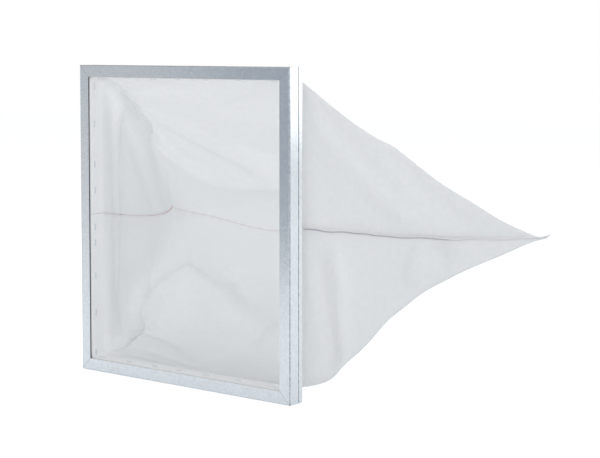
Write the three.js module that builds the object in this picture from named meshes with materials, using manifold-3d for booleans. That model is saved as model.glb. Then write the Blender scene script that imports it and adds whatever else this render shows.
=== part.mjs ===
// A single-pocket bag air filter: a mitred galvanised steel header frame that holds the stapled hem of
// a cloth bag, which is an envelope of two panels sewn together at both sides and across the back.
// Millimetres, +Z up, +Y from the front of the frame into the bag. The origin is the middle of the
// underside of the bottom rail.
import * as THREE from "three";
import { mergeVertices } from "three/addons/utils/BufferGeometryUtils.js";
import Module from "manifold-3d";

const wasm = await Module();
wasm.setup();

// Header frame
const frameWidth = 350;
const frameHeight = 400;
const frameDepth = 25;
const sheet = 0.8; // gauge of the galvanised strip
const frontFlange = 15.5;
const rearFlange = 14.5;
const bendRadius = 0.5; // inside each fold of the channel
const grooveSetback = 17; // from the front face to the rolled groove in the web
const grooveWidth = 1.6;
const grooveDepth = 0.45;
const bendSteps = 3;

// Corner keys inside the channels
const keyGauge = 2;
const keyLeg = 45;
const keyEdgeRoom = 0.6; // between a key and the flanges beside it

// Hem, retaining strips and staples
const clearance = 0.3; // between pieces that lie against each other
const cloth = 1.6; // thickness of the needled felt
const stripGauge = 1;
const hemTail = 10; // cloth folded back behind the strip
const hemRun = 9; // from the cloth's last straight place in the channel to the frame's back
const noseSetback = 4.1; // from the front face to the middle of the folded edge
const stapleWire = 0.9;
const stapleCrown = 8;
const stapleClinch = 2.4;
const stapleSetback = 9.5; // from the front face to the row of staples
const stapleHole = 1.5;
// Hand-set staple places along a side rail and along a cross rail, as shares of the rail's length
const sideStaples = [0.056, 0.188, 0.31, 0.418, 0.47, 0.59, 0.675, 0.808, 0.93];
const crossStaples = [0.08, 0.22, 0.35, 0.47, 0.6, 0.75, 0.91];

// Bag
const bagLength = 313; // straight back from the frame to the back seam
const flare = 167; // how far each back corner stands out past the mouth
const seamHeight = 205; // of both side seams at the mouth
const cornerHeight = 178; // of both back corners
const backSag = 18; // of the back seam between its corners
const seamSag = 6; // of each side seam
const seamAllowance = 8; // cloth outside the stitches
const seamBow = 1.6; // 1 is a straight side seam, more hollows it in plan
const shoulder = 20; // how far the cloth stands up behind the top corners of the mouth
const upperSag = 10; // of the upper panel between its folds
// Heights above the mouth's lower edge, along the lower folds and along the middle of the lower panel
const foldDip = -4;
const foldLevel = 1;
const foldRise = 34;
const foldKnee = 86;
const foldBack = 118;
const hangDip = -5;
const hangLevel = 4;
const hangRise = 28;
const hangMiddle = 70;
const hangBack = 110;
const foldSoftness = 14; // reach of the rounding along each fold
const gussetSteps = 10; // cells up and along a gusset, alike so that its fold runs through their corners
const stepsAcross = 14;
const seamGap = 0.3; // between the two panels at a seam

// Middle of the cloth and of what it wraps, in from the outside of the frame
const mouthInset = rearFlange + clearance + cloth / 2 + 0.1;
const tailInset = mouthInset - 2 * (cloth / 2 + clearance) - stripGauge;
const stripInset = (mouthInset + tailInset) / 2;
const noseRadius = (mouthInset - tailInset) / 2;
const hemFront = noseSetback + noseRadius; // where the folded edge turns straight
const hemBack = frameDepth + 2 * clearance;

const zinc = { color: 0xc6ccd2, roughness: 0.38, metalness: 1 };
const plainSteel = { color: 0xa9adb1, roughness: 0.45, metalness: 1 };
const felt = { color: 0xe6e9ec, roughness: 0.95, metalness: 0 };

function named(name, geometry, look) {
  const mesh = new THREE.Mesh(geometry, new THREE.MeshStandardMaterial(look));
  mesh.name = name;
  return mesh;
}

// The geometry with only its positions left, and its shared corners joined.
function joinedCorners(geometry) {
  const bare = geometry.clone();
  bare.deleteAttribute("normal");
  bare.deleteAttribute("uv");
  return mergeVertices(bare, 1e-4);
}

function solidOf(geometry) {
  const merged = joinedCorners(geometry);
  return new wasm.Manifold(
    new wasm.Mesh({
      numProp: 3,
      vertProperties: new Float32Array(merged.attributes.position.array),
      triVerts: new Uint32Array(merged.index.array),
    }),
  );
}

function geometryOf(solid) {
  const { vertProperties, triVerts } = solid.getMesh();
  const geometry = new THREE.BufferGeometry();
  geometry.setAttribute("position", new THREE.BufferAttribute(vertProperties, 3));
  geometry.setIndex(new THREE.BufferAttribute(triVerts, 1));
  geometry.computeVertexNormals();
  return geometry;
}

// Closed geometry from points and triangles, turned so that its faces look outwards.
function closedGeometry(points, triangles) {
  const [a, b, c] = [0, 0, 0].map(() => new THREE.Vector3());
  let volume = 0;
  for (const [i, j, k] of triangles) {
    volume += a.copy(points[i]).dot(b.copy(points[j]).cross(c.copy(points[k])));
  }
  const facing = volume < 0 ? triangles.map(([i, j, k]) => [i, k, j]) : triangles;
  const geometry = new THREE.BufferGeometry().setFromPoints(points);
  geometry.setIndex(facing.flat());
  geometry.computeVertexNormals();
  return geometry;
}

// A bar along X with mitred ends. Its section is drawn as (distance in from the outside, depth).
function mitredBar(section, outsideLength) {
  const outline = THREE.ShapeUtils.isClockWise(section) ? [...section].reverse() : section;
  const points = [];
  for (const end of [-1, 1]) {
    for (const { x: inset, y: depth } of outline) {
      const along = end * (outsideLength / 2 - inset - clearance / 2);
      points.push(new THREE.Vector3(along, depth, inset));
    }
  }
  const count = outline.length;
  const triangles = [];
  for (const [a, b, c] of THREE.ShapeUtils.triangulateShape(outline, [])) {
    triangles.push([a, b, c], [count + a, count + c, count + b]);
  }
  for (let i = 0; i < count; i++) {
    const next = (i + 1) % count;
    triangles.push([i, next + count, next], [i, i + count, next + count]);
  }
  return closedGeometry(points, triangles);
}

// The folded strip: front flange, web with its rolled groove, and rear flange.
function channelOutline() {
  const outer = bendRadius + sheet;
  const back = frameDepth;
  const [grooveFront, grooveBack] = [-1, 1].map((s) => grooveSetback + (s * grooveWidth) / 2);
  const shape = new THREE.Shape();
  shape.moveTo(frontFlange, 0);
  shape.lineTo(outer, 0);
  shape.absarc(outer, outer, outer, -Math.PI / 2, Math.PI, true);
  shape.lineTo(0, grooveFront);
  shape.lineTo(grooveDepth, grooveSetback);
  shape.lineTo(0, grooveBack);
  shape.lineTo(0, back - outer);
  shape.absarc(outer, back - outer, outer, Math.PI, Math.PI / 2, true);
  shape.lineTo(rearFlange, back);
  shape.lineTo(rearFlange, back - sheet);
  shape.lineTo(outer, back - sheet);
  shape.absarc(outer, back - outer, bendRadius, Math.PI / 2, Math.PI, false);
  shape.lineTo(sheet, grooveBack);
  shape.lineTo(sheet + grooveDepth, grooveSetback);
  shape.lineTo(sheet, grooveFront);
  shape.lineTo(sheet, outer);
  shape.absarc(outer, outer, bendRadius, Math.PI, (3 * Math.PI) / 2, false);
  shape.lineTo(frontFlange, sheet);
  return distinct(shape.extractPoints(bendSteps).shape);
}

function distinct(points) {
  return points.filter((p, i) => p.distanceTo(points[(i + 1) % points.length]) > 1e-3);
}

function stripOutline() {
  const front = hemFront - 0.1;
  const back = frameDepth - sheet - clearance;
  return [
    new THREE.Vector2(stripInset - stripGauge / 2, front),
    new THREE.Vector2(stripInset + stripGauge / 2, front),
    new THREE.Vector2(stripInset + stripGauge / 2, back),
    new THREE.Vector2(stripInset - stripGauge / 2, back),
  ];
}

// Where the two legs of each staple on a rail of this length stand, measured along the rail.
function legPlaces(length, shares) {
  const legOffset = (stapleCrown - stapleWire) / 2;
  return shares.flatMap((share) => [-1, 1].map((s) => (share - 0.5) * length + s * legOffset));
}

function legHoles(length, shares) {
  const reach = 4 * noseRadius;
  return legPlaces(length, shares).map((along) => {
    const hole = new THREE.BoxGeometry(stapleHole, stapleHole, reach);
    return hole.translate(along, stapleSetback, stripInset);
  });
}

// A staple driven from inside the mouth, through hem and strip, and clinched behind them.
function stapleGeometry() {
  const crown = mouthInset + cloth / 2 + clearance + stapleWire;
  const clinch = tailInset - cloth / 2 - clearance - stapleWire;
  const half = stapleCrown / 2;
  const inner = half - stapleWire;
  const shape = new THREE.Shape();
  shape.moveTo(-half, clinch);
  shape.lineTo(-half + stapleClinch, clinch);
  shape.lineTo(-half + stapleClinch, clinch + stapleWire);
  shape.lineTo(-inner, clinch + stapleWire);
  shape.lineTo(-inner, crown - stapleWire);
  shape.lineTo(inner, crown - stapleWire);
  shape.lineTo(inner, clinch + stapleWire);
  shape.lineTo(half - stapleClinch, clinch + stapleWire);
  shape.lineTo(half - stapleClinch, clinch);
  shape.lineTo(half, clinch);
  shape.lineTo(half, crown);
  shape.lineTo(-half, crown);
  const wire = new THREE.ExtrudeGeometry(shape, { depth: stapleWire, bevelEnabled: false });
  wire.rotateX(Math.PI / 2); // the wire's width now runs along the depth of the frame
  wire.translate(0, stapleSetback + stapleWire / 2, 0);
  return turnedOut(wire);
}

function turnedOut(geometry) {
  const merged = joinedCorners(geometry);
  const place = merged.attributes.position;
  const points = Array.from({ length: place.count }, (_, i) =>
    new THREE.Vector3().fromBufferAttribute(place, i),
  );
  const list = Array.from(merged.index.array);
  const triangles = Array.from({ length: list.length / 3 }, (_, i) => list.slice(3 * i, 3 * i + 3));
  return closedGeometry(points, triangles);
}

// One side of the header: rail, retaining strip and staples, all seen from the outside in.
const sides = [
  { name: "bottom", length: frameWidth, turn: 0, at: [0, 0], staples: crossStaples },
  { name: "right", length: frameHeight, turn: -90, at: [frameWidth / 2, frameHeight / 2], staples: sideStaples },
  { name: "top", length: frameWidth, turn: 180, at: [0, frameHeight], staples: crossStaples },
  { name: "left", length: frameHeight, turn: 90, at: [-frameWidth / 2, frameHeight / 2], staples: sideStaples },
];

function placeSide(object, { turn, at }) {
  object.rotation.y = THREE.MathUtils.degToRad(turn);
  object.position.set(at[0], 0, at[1]);
  object.updateMatrix();
  return object;
}

// Staple shares run upwards on both side rails and to the right on both cross rails.
function sharesAlong({ name, staples }) {
  return name === "left" || name === "top" ? staples.map((share) => 1 - share) : staples;
}

function makeSide(side) {
  const group = placeSide(new THREE.Group(), side);
  const shares = sharesAlong(side);
  group.add(named("rail_" + side.name, mitredBar(channelOutline(), side.length), zinc));
  let strip = solidOf(mitredBar(stripOutline(), side.length));
  for (const hole of legHoles(side.length, shares)) {
    strip = strip.subtract(solidOf(hole));
  }
  group.add(named("retaining_strip_" + side.name, geometryOf(strip), plainSteel));
  shares.forEach((share, i) => {
    const staple = named("staple_" + side.name + "_" + (i + 1), stapleGeometry(), zinc);
    staple.position.x = (share - 0.5) * side.length;
    group.add(staple);
  });
  return group;
}

// A bent key that joins two rails inside their channels.
function makeCornerKeys() {
  const group = new THREE.Group();
  const seat = sheet + clearance + grooveDepth;
  const width = frameDepth - 2 * (sheet + keyEdgeRoom);
  const shape = new THREE.Shape();
  shape.moveTo(seat, seat);
  shape.lineTo(seat + keyLeg, seat);
  shape.lineTo(seat + keyLeg, seat + keyGauge);
  shape.lineTo(seat + keyGauge, seat + keyGauge);
  shape.lineTo(seat + keyGauge, seat + keyLeg);
  shape.lineTo(seat, seat + keyLeg);
  for (const [index, [sideX, sideZ]] of [[-1, -1], [1, -1], [1, 1], [-1, 1]].entries()) {
    const key = new THREE.ExtrudeGeometry(shape, { depth: width, bevelEnabled: false });
    key.rotateX(Math.PI / 2);
    key.scale(-sideX, 1, -sideZ);
    key.translate(sideX * (frameWidth / 2), sheet + keyEdgeRoom + width, (1 + sideZ) * (frameHeight / 2));
    group.add(named("corner_key_" + (index + 1), turnedOut(key), plainSteel));
  }
  return group;
}

// Height of a fold line that runs from a bottom corner of the mouth to a back corner.
// Height at t on a smooth line through [t, height] points.
function heightAlong(points, t) {
  const next = Math.max(points.findIndex(([x]) => x >= t), 1);
  const [before, from, to, after] = [-2, -1, 0, 1].map((k) => points[THREE.MathUtils.clamp(next + k, 0, points.length - 1)]);
  const run = to[0] - from[0];
  const share = (t - from[0]) / run;
  const slopeFrom = ((to[1] - before[1]) / (to[0] - before[0])) * run;
  const slopeTo = ((after[1] - from[1]) / (after[0] - from[0])) * run;
  return (
    (2 * share ** 3 - 3 * share ** 2 + 1) * from[1] +
    (share ** 3 - 2 * share ** 2 + share) * slopeFrom +
    (3 * share ** 2 - 2 * share ** 3) * to[1] +
    (share ** 3 - share ** 2) * slopeTo
  );
}

// The lower folds run level behind the mouth, then rise to a knee halfway along.
function lowerFoldHeight(t) {
  const start = mouthInset;
  const rises = [[0, 0], [0.1, foldDip], [0.22, foldLevel], [0.36, foldRise], [0.5, foldKnee], [0.7, foldBack]];
  return heightAlong([...rises.map(([x, rise]) => [x, start + rise]), [1, cornerHeight]], t);
}

// Halfway between them the lower panel hangs lower.
function lowerMiddleHeight(t) {
  const start = mouthInset;
  const rises = [[0, 0], [0.12, hangDip], [0.3, hangLevel], [0.45, hangRise], [0.62, hangMiddle], [0.8, hangBack]];
  return heightAlong([...rises.map(([x, rise]) => [x, start + rise]), [1, cornerHeight - backSag]], t);
}

function upperFoldHeight(t) {
  const start = frameHeight - mouthInset;
  return THREE.MathUtils.lerp(start, cornerHeight, t) + shoulder * Math.sin(Math.PI * Math.sqrt(t)) * (1 - t);
}

function reachAt(t) {
  return frameWidth / 2 - mouthInset + flare * t ** seamBow;
}

function seamPoint(side, t) {
  const height = THREE.MathUtils.lerp(seamHeight, cornerHeight, t) - seamSag * Math.sin(Math.PI * t);
  return new THREE.Vector3(side * reachAt(t), hemBack + bagLength * t, height);
}

// The back seam sags between its corners and waves a little.
function backSeamHeight(across) {
  const edge = 2 * across - 1;
  const wave = 5 * Math.sin(5 * Math.PI * across) * (1 - edge ** 4);
  return cornerHeight - backSag * (1 - edge ** 4) + wave;
}

// A panel without thickness: place is the length along its edge at the mouth, t runs to the back seam.
function panelPoint(upper, place, t) {
  const rise = upper ? frameHeight - mouthInset - seamHeight : seamHeight - mouthInset;
  const width = frameWidth - 2 * mouthInset;
  const total = 2 * rise + width;
  const folded = rise * (1 - t);
  const foldHeight = upper ? upperFoldHeight(t) : lowerFoldHeight(t);
  const fold = (side) => new THREE.Vector3(side * reachAt(t), hemBack + bagLength * t, foldHeight);
  if (place < folded) {
    return seamPoint(-1, t).lerp(fold(-1), place / folded);
  }
  const left = Math.max(total - place, 0);
  if (left < folded) {
    return seamPoint(1, t).lerp(fold(1), left / folded);
  }
  const across = Math.min((place - folded) / (total - 2 * folded), 1);
  const point = fold(-1).lerp(fold(1), across);
  const fromMiddle = Math.abs(2 * across - 1);
  const edge = backSeamHeight(across) - cornerHeight;
  if (upper) {
    point.z += edge * t ** 2 - upperSag * Math.sin(Math.PI * t) * (1 - fromMiddle ** 2);
  } else {
    const hang = (1 - fromMiddle ** 1.4) * (1 - t ** 6);
    point.z = THREE.MathUtils.lerp(point.z, lowerMiddleHeight(t), hang) + edge * t ** 6;
  }
  return point;
}

// The same with its folds rounded by averaging along the panel.
function softPoint(upper, place, t) {
  const rise = upper ? frameHeight - mouthInset - seamHeight : seamHeight - mouthInset;
  const total = 2 * rise + frameWidth - 2 * mouthInset;
  const reach = foldSoftness * Math.sin(Math.PI * Math.min(t, 0.5));
  const spread = Math.min(reach, place, Math.max(total - place, 0));
  const point = new THREE.Vector3();
  for (const share of [-1, -0.5, 0, 0.5, 1]) {
    point.addScaledVector(panelPoint(upper, place + share * spread, t), 0.2);
  }
  return point;
}

// The mouth's half loop at a given inset and depth.
function mouthPoint(upper, column, inset, depth) {
  const halfWidth = frameWidth / 2 - inset;
  const far = upper ? frameHeight - inset : inset;
  const near = seamHeight + (upper ? 1 : -1) * (seamGap / 2);
  const columns = 2 * gussetSteps + stepsAcross;
  if (column < gussetSteps) {
    return new THREE.Vector3(-halfWidth, depth, THREE.MathUtils.lerp(near, far, column / gussetSteps));
  }
  if (column > columns - gussetSteps) {
    return new THREE.Vector3(halfWidth, depth, THREE.MathUtils.lerp(near, far, (columns - column) / gussetSteps));
  }
  return new THREE.Vector3(THREE.MathUtils.lerp(-halfWidth, halfWidth, (column - gussetSteps) / stepsAcross), depth, far);
}

// Inset and depth of the cloth's middle along the hem: tail, folded edge, and the run to the frame's back.
function hemPath() {
  const path = [[tailInset, hemFront + hemTail], [tailInset, hemFront + 1.2]];
  const noseSteps = 4;
  for (let i = 0; i <= noseSteps; i++) {
    const angle = (Math.PI * i) / noseSteps;
    path.push([stripInset - noseRadius * Math.cos(angle), hemFront - noseRadius * Math.sin(angle)]);
  }
  path.push([mouthInset, hemBack - hemRun]);
  return path;
}

// A cloth panel: hem, gusset, main face and seam allowances as one sheet of even thickness.
function panelGeometry(upper) {
  const hem = hemPath();
  const columns = 2 * gussetSteps + stepsAcross;
  const firstBody = hem.length;
  const lastRow = firstBody + gussetSteps;
  const lift = (upper ? 1 : -1) * (seamGap / 2 + cloth / 2);
  const rise = upper ? frameHeight - mouthInset - seamHeight : seamHeight - mouthInset;
  const width = frameWidth - 2 * mouthInset;

  const placeOf = (column) => {
    if (column <= gussetSteps) return (rise * column) / gussetSteps;
    if (column >= columns - gussetSteps) return 2 * rise + width - (rise * (columns - column)) / gussetSteps;
    return rise + (width * (column - gussetSteps)) / stepsAcross;
  };
  const outward = (side, t) => {
    const run = seamPoint(side, Math.min(t + 0.01, 1)).sub(seamPoint(side, Math.max(t - 0.01, 0)));
    return new THREE.Vector3(side * run.y, -side * run.x, 0).normalize();
  };
  const bodyPoint = (column, row) => {
    const t = Math.min((row - firstBody) / gussetSteps, 1);
    const inside = THREE.MathUtils.clamp(column, 0, columns);
    const point = softPoint(upper, placeOf(inside), t);
    const edgeness = Math.max(1 - Math.min(inside, columns - inside), 0, t === 1 ? 1 : 0);
    point.z += lift * edgeness;
    if (column !== inside) {
      point.addScaledVector(outward(Math.sign(column - inside), t), seamAllowance);
    }
    if (row > lastRow) {
      point.y += seamAllowance;
    }
    return point;
  };
  const middle = (column, row) =>
    row < firstBody ? mouthPoint(upper, column, ...hem[row]) : bodyPoint(column, row);
  const present = (column, row) =>
    column >= 0 && column < columns ? row >= 0 && row <= lastRow : row >= firstBody && row <= lastRow && column >= -1 && column <= columns;

  return plate(present, middle, [-1, columns], [0, lastRow], cloth);
}

// A sheet of even thickness over the cells that are present, from the middle point of each cell corner.
function plate(present, middle, [firstColumn, lastColumn], [firstRow, lastRow], thickness) {
  const points = [];
  const triangles = [];
  const known = new Map();
  const exists = (c, r) => [[0, 0], [-1, 0], [0, -1], [-1, -1]].some(([dc, dr]) => present(c + dc, r + dr));
  const near = (c, r, dc, dr) => (exists(c + dc, r + dr) ? middle(c + dc, r + dr) : middle(c, r));
  const corner = (c, r) => {
    const key = c + "," + r;
    if (!known.has(key)) {
      const along = near(c, r, 1, 0).sub(near(c, r, -1, 0));
      const back = near(c, r, 0, 1).sub(near(c, r, 0, -1));
      const normal = along.cross(back).normalize();
      known.set(key, points.length);
      points.push(middle(c, r).addScaledVector(normal, thickness / 2));
      points.push(middle(c, r).addScaledVector(normal, -thickness / 2));
    }
    return known.get(key);
  };
  for (let r = firstRow; r <= lastRow; r++) {
    for (let c = firstColumn; c <= lastColumn; c++) {
      if (!present(c, r)) continue;
      const ring = [corner(c, r), corner(c + 1, r), corner(c + 1, r + 1), corner(c, r + 1)];
      // each cell is split along the fold line of its own half
      const [p, q, u, v] = 2 * c < firstColumn + lastColumn ? [1, 2, 3, 0] : [0, 1, 2, 3];
      for (const [i, j, k] of [[p, q, u], [p, u, v]]) {
        triangles.push([ring[i], ring[j], ring[k]], [ring[i] + 1, ring[k] + 1, ring[j] + 1]);
      }
      const beside = [[0, -1], [1, 0], [0, 1], [-1, 0]];
      beside.forEach(([dc, dr], side) => {
        if (present(c + dc, r + dr)) return;
        const [a, b] = [ring[side], ring[(side + 1) % 4]];
        triangles.push([a, a + 1, b], [b, a + 1, b + 1]);
      });
    }
  }
  return closedGeometry(points, triangles);
}

function makePanel(name, upper) {
  let panel = solidOf(panelGeometry(upper));
  for (const side of sides) {
    const matrix = placeSide(new THREE.Group(), side).matrix;
    for (const hole of legHoles(side.length, sharesAlong(side))) {
      panel = panel.subtract(solidOf(turnedOut(hole.applyMatrix4(matrix))));
    }
  }
  return named(name, geometryOf(panel), felt);
}

const header = new THREE.Group();
for (const side of sides) {
  header.add(makeSide(side));
}
header.add(makeCornerKeys());

const bag = new THREE.Group();
bag.add(makePanel("bag_upper_panel", true), makePanel("bag_lower_panel", false));

const filter = new THREE.Group();
filter.add(header, bag);
filter.position.y = -frameDepth / 2;

export default filter;
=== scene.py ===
import math
import random
import bpy
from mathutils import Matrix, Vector, noise


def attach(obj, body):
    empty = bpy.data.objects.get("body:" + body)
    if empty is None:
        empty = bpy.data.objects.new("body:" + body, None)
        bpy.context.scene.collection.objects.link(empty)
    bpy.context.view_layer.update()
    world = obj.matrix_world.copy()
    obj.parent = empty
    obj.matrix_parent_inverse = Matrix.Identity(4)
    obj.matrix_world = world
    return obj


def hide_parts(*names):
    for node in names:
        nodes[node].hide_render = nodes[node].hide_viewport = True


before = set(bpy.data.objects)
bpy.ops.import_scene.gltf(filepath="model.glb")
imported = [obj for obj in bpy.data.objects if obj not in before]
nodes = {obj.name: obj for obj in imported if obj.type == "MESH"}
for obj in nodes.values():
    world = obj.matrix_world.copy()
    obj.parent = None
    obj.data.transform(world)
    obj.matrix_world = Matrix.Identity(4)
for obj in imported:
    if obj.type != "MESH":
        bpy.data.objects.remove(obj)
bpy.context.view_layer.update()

scene = bpy.context.scene
mm = 0.001

# one seed for every small irregularity
dice = random.Random(7)


# small helpers

def lerp(a, b, share):
    return a + (b - a) * share


def clamped(value):
    return min(max(value, 0), 1)


def srgb(hexText):
    # a colour written as #rrggbb, as linear values
    values = [int(hexText[i:i + 2], 16) / 255 for i in (1, 3, 5)]
    linear = [v / 12.92 if v <= 0.04045 else ((v + 0.055) / 1.055) ** 2.4 for v in values]
    return (*linear, 1.0)


def deselectAll():
    if bpy.context.object and bpy.context.object.mode != "OBJECT":
        bpy.ops.object.mode_set(mode="OBJECT")
    bpy.ops.object.select_all(action="DESELECT")


def makeActive(piece):
    deselectAll()
    piece.select_set(True)
    bpy.context.view_layer.objects.active = piece


def applyModifiers(piece):
    makeActive(piece)
    for modifier in list(piece.modifiers):
        bpy.ops.object.modifier_apply(modifier=modifier.name)


def bakePlace(piece):
    makeActive(piece)
    bpy.ops.object.transform_apply(location=True, rotation=True, scale=True)


def dress(piece, material):
    piece.data.materials.clear()
    piece.data.materials.append(material)
    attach(piece, "root")


def newMaterial(name):
    material = bpy.data.materials.new(name)
    material.use_nodes = True
    material.node_tree.nodes.clear()
    return material


def addNode(owner, kind, inputs=None, **settings):
    # owner is a material or the world; an input is another node's socket or a plain value
    node = owner.node_tree.nodes.new(kind)
    for key, value in settings.items():
        setattr(node, key, value)
    for key, value in (inputs or {}).items():
        if isinstance(value, bpy.types.NodeSocket):
            owner.node_tree.links.new(value, node.inputs[key])
        else:
            node.inputs[key].default_value = value
    return node


def objectPlace(material):
    return addNode(material, "ShaderNodeTexCoord").outputs["Object"]


def combine(material, operation, first, second):
    return addNode(material, "ShaderNodeMath", {0: first, 1: second}, operation=operation).outputs[0]


def twoTones(material, factor, dark, light):
    ramp = addNode(material, "ShaderNodeValToRGB", {"Fac": factor})
    ramp.color_ramp.elements[0].color = srgb(dark)
    ramp.color_ramp.elements[1].color = srgb(light)
    return ramp


def mixShaders(material, share, first, second):
    return addNode(material, "ShaderNodeMixShader", {0: share, 1: first.outputs[0], 2: second.outputs[0]})


def toSurface(material, shader):
    addNode(material, "ShaderNodeOutputMaterial", {"Surface": shader.outputs[0]})


# camera, at the photograph's angle; found from the corners of the header frame

cameraSet = {
    "place": (1.299, -1.4275, 0.423),
    "turn": 38.08,             # degrees to the left of +Y
    "tilt": 3.39,              # degrees down
    "lens": 92.94,
    "sensor": 36,
    "shiftDown": 0.15,         # keeps the uprights upright, as in the photo
}


def makeCamera():
    data = bpy.data.cameras.new("camera")
    data.lens = cameraSet["lens"]
    data.sensor_width = cameraSet["sensor"]
    data.shift_y = -cameraSet["shiftDown"]
    camera = bpy.data.objects.new("camera", data)
    scene.collection.objects.link(camera)
    turn = math.radians(cameraSet["turn"])
    tilt = math.radians(cameraSet["tilt"])
    ahead = Vector((-math.sin(turn) * math.cos(tilt), math.cos(turn) * math.cos(tilt), -math.sin(tilt)))
    camera.rotation_mode = "QUATERNION"
    camera.rotation_quaternion = ahead.to_track_quat("-Z", "Y")
    camera.location = cameraSet["place"]
    scene.camera = camera


makeCamera()
print("camera set")


# hot-dip galvanised strip, rolled and folded: satin zinc with a faint spangle and fine lines along the
# strip, and thin dark lines of painted shade at the front bend and in the groove

zinc = {
    "dark": "#babfc4",
    "light": "#c3c8cd",
    "spangleScale": 330.0,     # crystals about 3 mm wide, faint in colour and relief
    "shadeLineColour": "#5c6670",   # painted shade: thin dark lines at the front bend and in the groove
    "bendLine": -0.0118,       # one by the front bend and one behind the middle, and half their widths
    "bendHalf": 0.0005,
    "middleLine": 0.0045,
    "middleHalf": 0.0006,
    "lineFadeScale": 420.0,        # the painted shade lines are fainter in places, down to the least share given below
    "lineFadeFrom": 0.35,
    "lineFadeTo": 0.6,
    "lineFadeLeast": 0.35,
    "fineAlong": 6.0,          # fine rolling lines, drawn out along the strip
    "fineAcross": 1900.0,
    "cloudScale": 60.0,        # patches of more and less gloss
    "roughLeast": 0.17,
    "roughMost": 0.25,
    "relief": 0.14,
    "reliefDepth": 0.0002,
}


def galvanisedSheet(name, along):
    material = newMaterial(name)
    place = objectPlace(material)
    spangle = addNode(material, "ShaderNodeTexVoronoi", {
        "Vector": place, "Scale": zinc["spangleScale"]}, feature="F1")
    tone = twoTones(material, spangle.outputs["Color"], zinc["dark"], zinc["light"])
    depth = addNode(material, "ShaderNodeSeparateXYZ", {"Vector": place}).outputs["Y"]
    # painted shade: thin dark lines along the front bend and in the groove, fainter in places
    bend = addNode(material, "ShaderNodeMath", {
        0: depth, 1: zinc["bendLine"], 2: zinc["bendHalf"]}, operation="COMPARE")
    middle = addNode(material, "ShaderNodeMath", {
        0: depth, 1: zinc["middleLine"], 2: zinc["middleHalf"]}, operation="COMPARE")
    shadeLines = combine(material, "MAXIMUM", bend.outputs[0], middle.outputs[0])
    lineFade = addNode(material, "ShaderNodeTexNoise", {
        "Vector": place, "Scale": zinc["lineFadeScale"], "Detail": 2.0})
    strength = addNode(material, "ShaderNodeMapRange", {
        "Value": lineFade.outputs["Fac"],
        "From Min": zinc["lineFadeFrom"],
        "From Max": zinc["lineFadeTo"],
        "To Min": zinc["lineFadeLeast"],
        "To Max": 1.0,
    })
    colour = addNode(material, "ShaderNodeMix", {
        "Factor": combine(material, "MULTIPLY", shadeLines, strength.outputs[0]),
        "A": tone.outputs["Color"],
        "B": srgb(zinc["shadeLineColour"]),
    }, data_type="RGBA")
    drawn = [zinc["fineAcross"]] * 3
    drawn["xyz".index(along)] = zinc["fineAlong"]
    rolled = addNode(material, "ShaderNodeMapping", {"Vector": place, "Scale": drawn})
    lines = addNode(material, "ShaderNodeTexNoise", {
        "Vector": rolled.outputs["Vector"], "Scale": 1.0, "Detail": 3.0})
    cloud = addNode(material, "ShaderNodeTexNoise", {
        "Vector": place, "Scale": zinc["cloudScale"], "Detail": 2.0})
    rough = addNode(material, "ShaderNodeMapRange", {
        "Value": cloud.outputs["Fac"], "To Min": zinc["roughLeast"], "To Max": zinc["roughMost"]})
    bump = addNode(material, "ShaderNodeBump", {
        "Height": combine(material, "ADD", lines.outputs["Fac"], spangle.outputs["Distance"]),
        "Strength": zinc["relief"],
        "Distance": zinc["reliefDepth"],
    })
    toSurface(material, addNode(material, "ShaderNodeBsdfPrincipled", {
        "Base Color": colour.outputs[2],
        "Metallic": 1.0,
        "Roughness": rough.outputs[0],
        "Normal": bump.outputs["Normal"],
    }))
    return material


# cold-rolled steel of the retaining strips and corner keys: oiled and dull, darker than the zinc beside it

strip = {
    "dark": "#85898d",
    "light": "#9a9ea2",
    "cloudScale": 140.0,
    "rough": 0.45,
}


def plainStrip():
    material = newMaterial("coldRolledStrip")
    cloud = addNode(material, "ShaderNodeTexNoise", {
        "Vector": objectPlace(material), "Scale": strip["cloudScale"], "Detail": 4.0})
    tone = twoTones(material, cloud.outputs["Fac"], strip["dark"], strip["light"])
    toSurface(material, addNode(material, "ShaderNodeBsdfPrincipled", {
        "Base Color": tone.outputs["Color"], "Metallic": 1.0, "Roughness": strip["rough"]}))
    return material


# zinc-plated wire of the staples: bright, with an uneven satin gloss

wire = {
    "colour": "#e4e7ea",
    "grainScale": 900.0,
    "roughLeast": 0.42,
    "roughMost": 0.55,
}


def stapleWire():
    material = newMaterial("platedWire")
    grain = addNode(material, "ShaderNodeTexNoise", {
        "Vector": objectPlace(material), "Scale": wire["grainScale"], "Detail": 2.0})
    rough = addNode(material, "ShaderNodeMapRange", {
        "Value": grain.outputs["Fac"], "To Min": wire["roughLeast"], "To Max": wire["roughMost"]})
    toSurface(material, addNode(material, "ShaderNodeBsdfPrincipled", {
        "Base Color": srgb(wire["colour"]), "Metallic": 1.0, "Roughness": rough.outputs[0]}))
    return material


# needle-punched polyester felt: matt white with a nap and faint clouds, and some light comes through it

feltLook = {
    "dark": "#f8f9fa",
    "light": "#fdfdfd",
    "cloudScale": 130.0,       # thicker and thinner places of the web, about 8 mm wide
    "cloudFrom": 0.3,
    "cloudTo": 0.7,
    "napScale": 900.0,         # clumps of fibre about 1 mm wide, with finer ones on them
    "relief": 0.5,
    "reliefDepth": 0.0003,
    "rough": 0.95,
    "specular": 0.2,
    "sheen": 0.15,
    "sheenRough": 0.5,
    "lightOverHem": 0.06,      # share of the light that comes through, over the retaining strips
    "lightFree": 0.5,          # and where the cloth hangs free
    "hemEnd": -0.006,          # metres behind the start of the free cloth
    "freeStart": 0.004,
}


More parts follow.
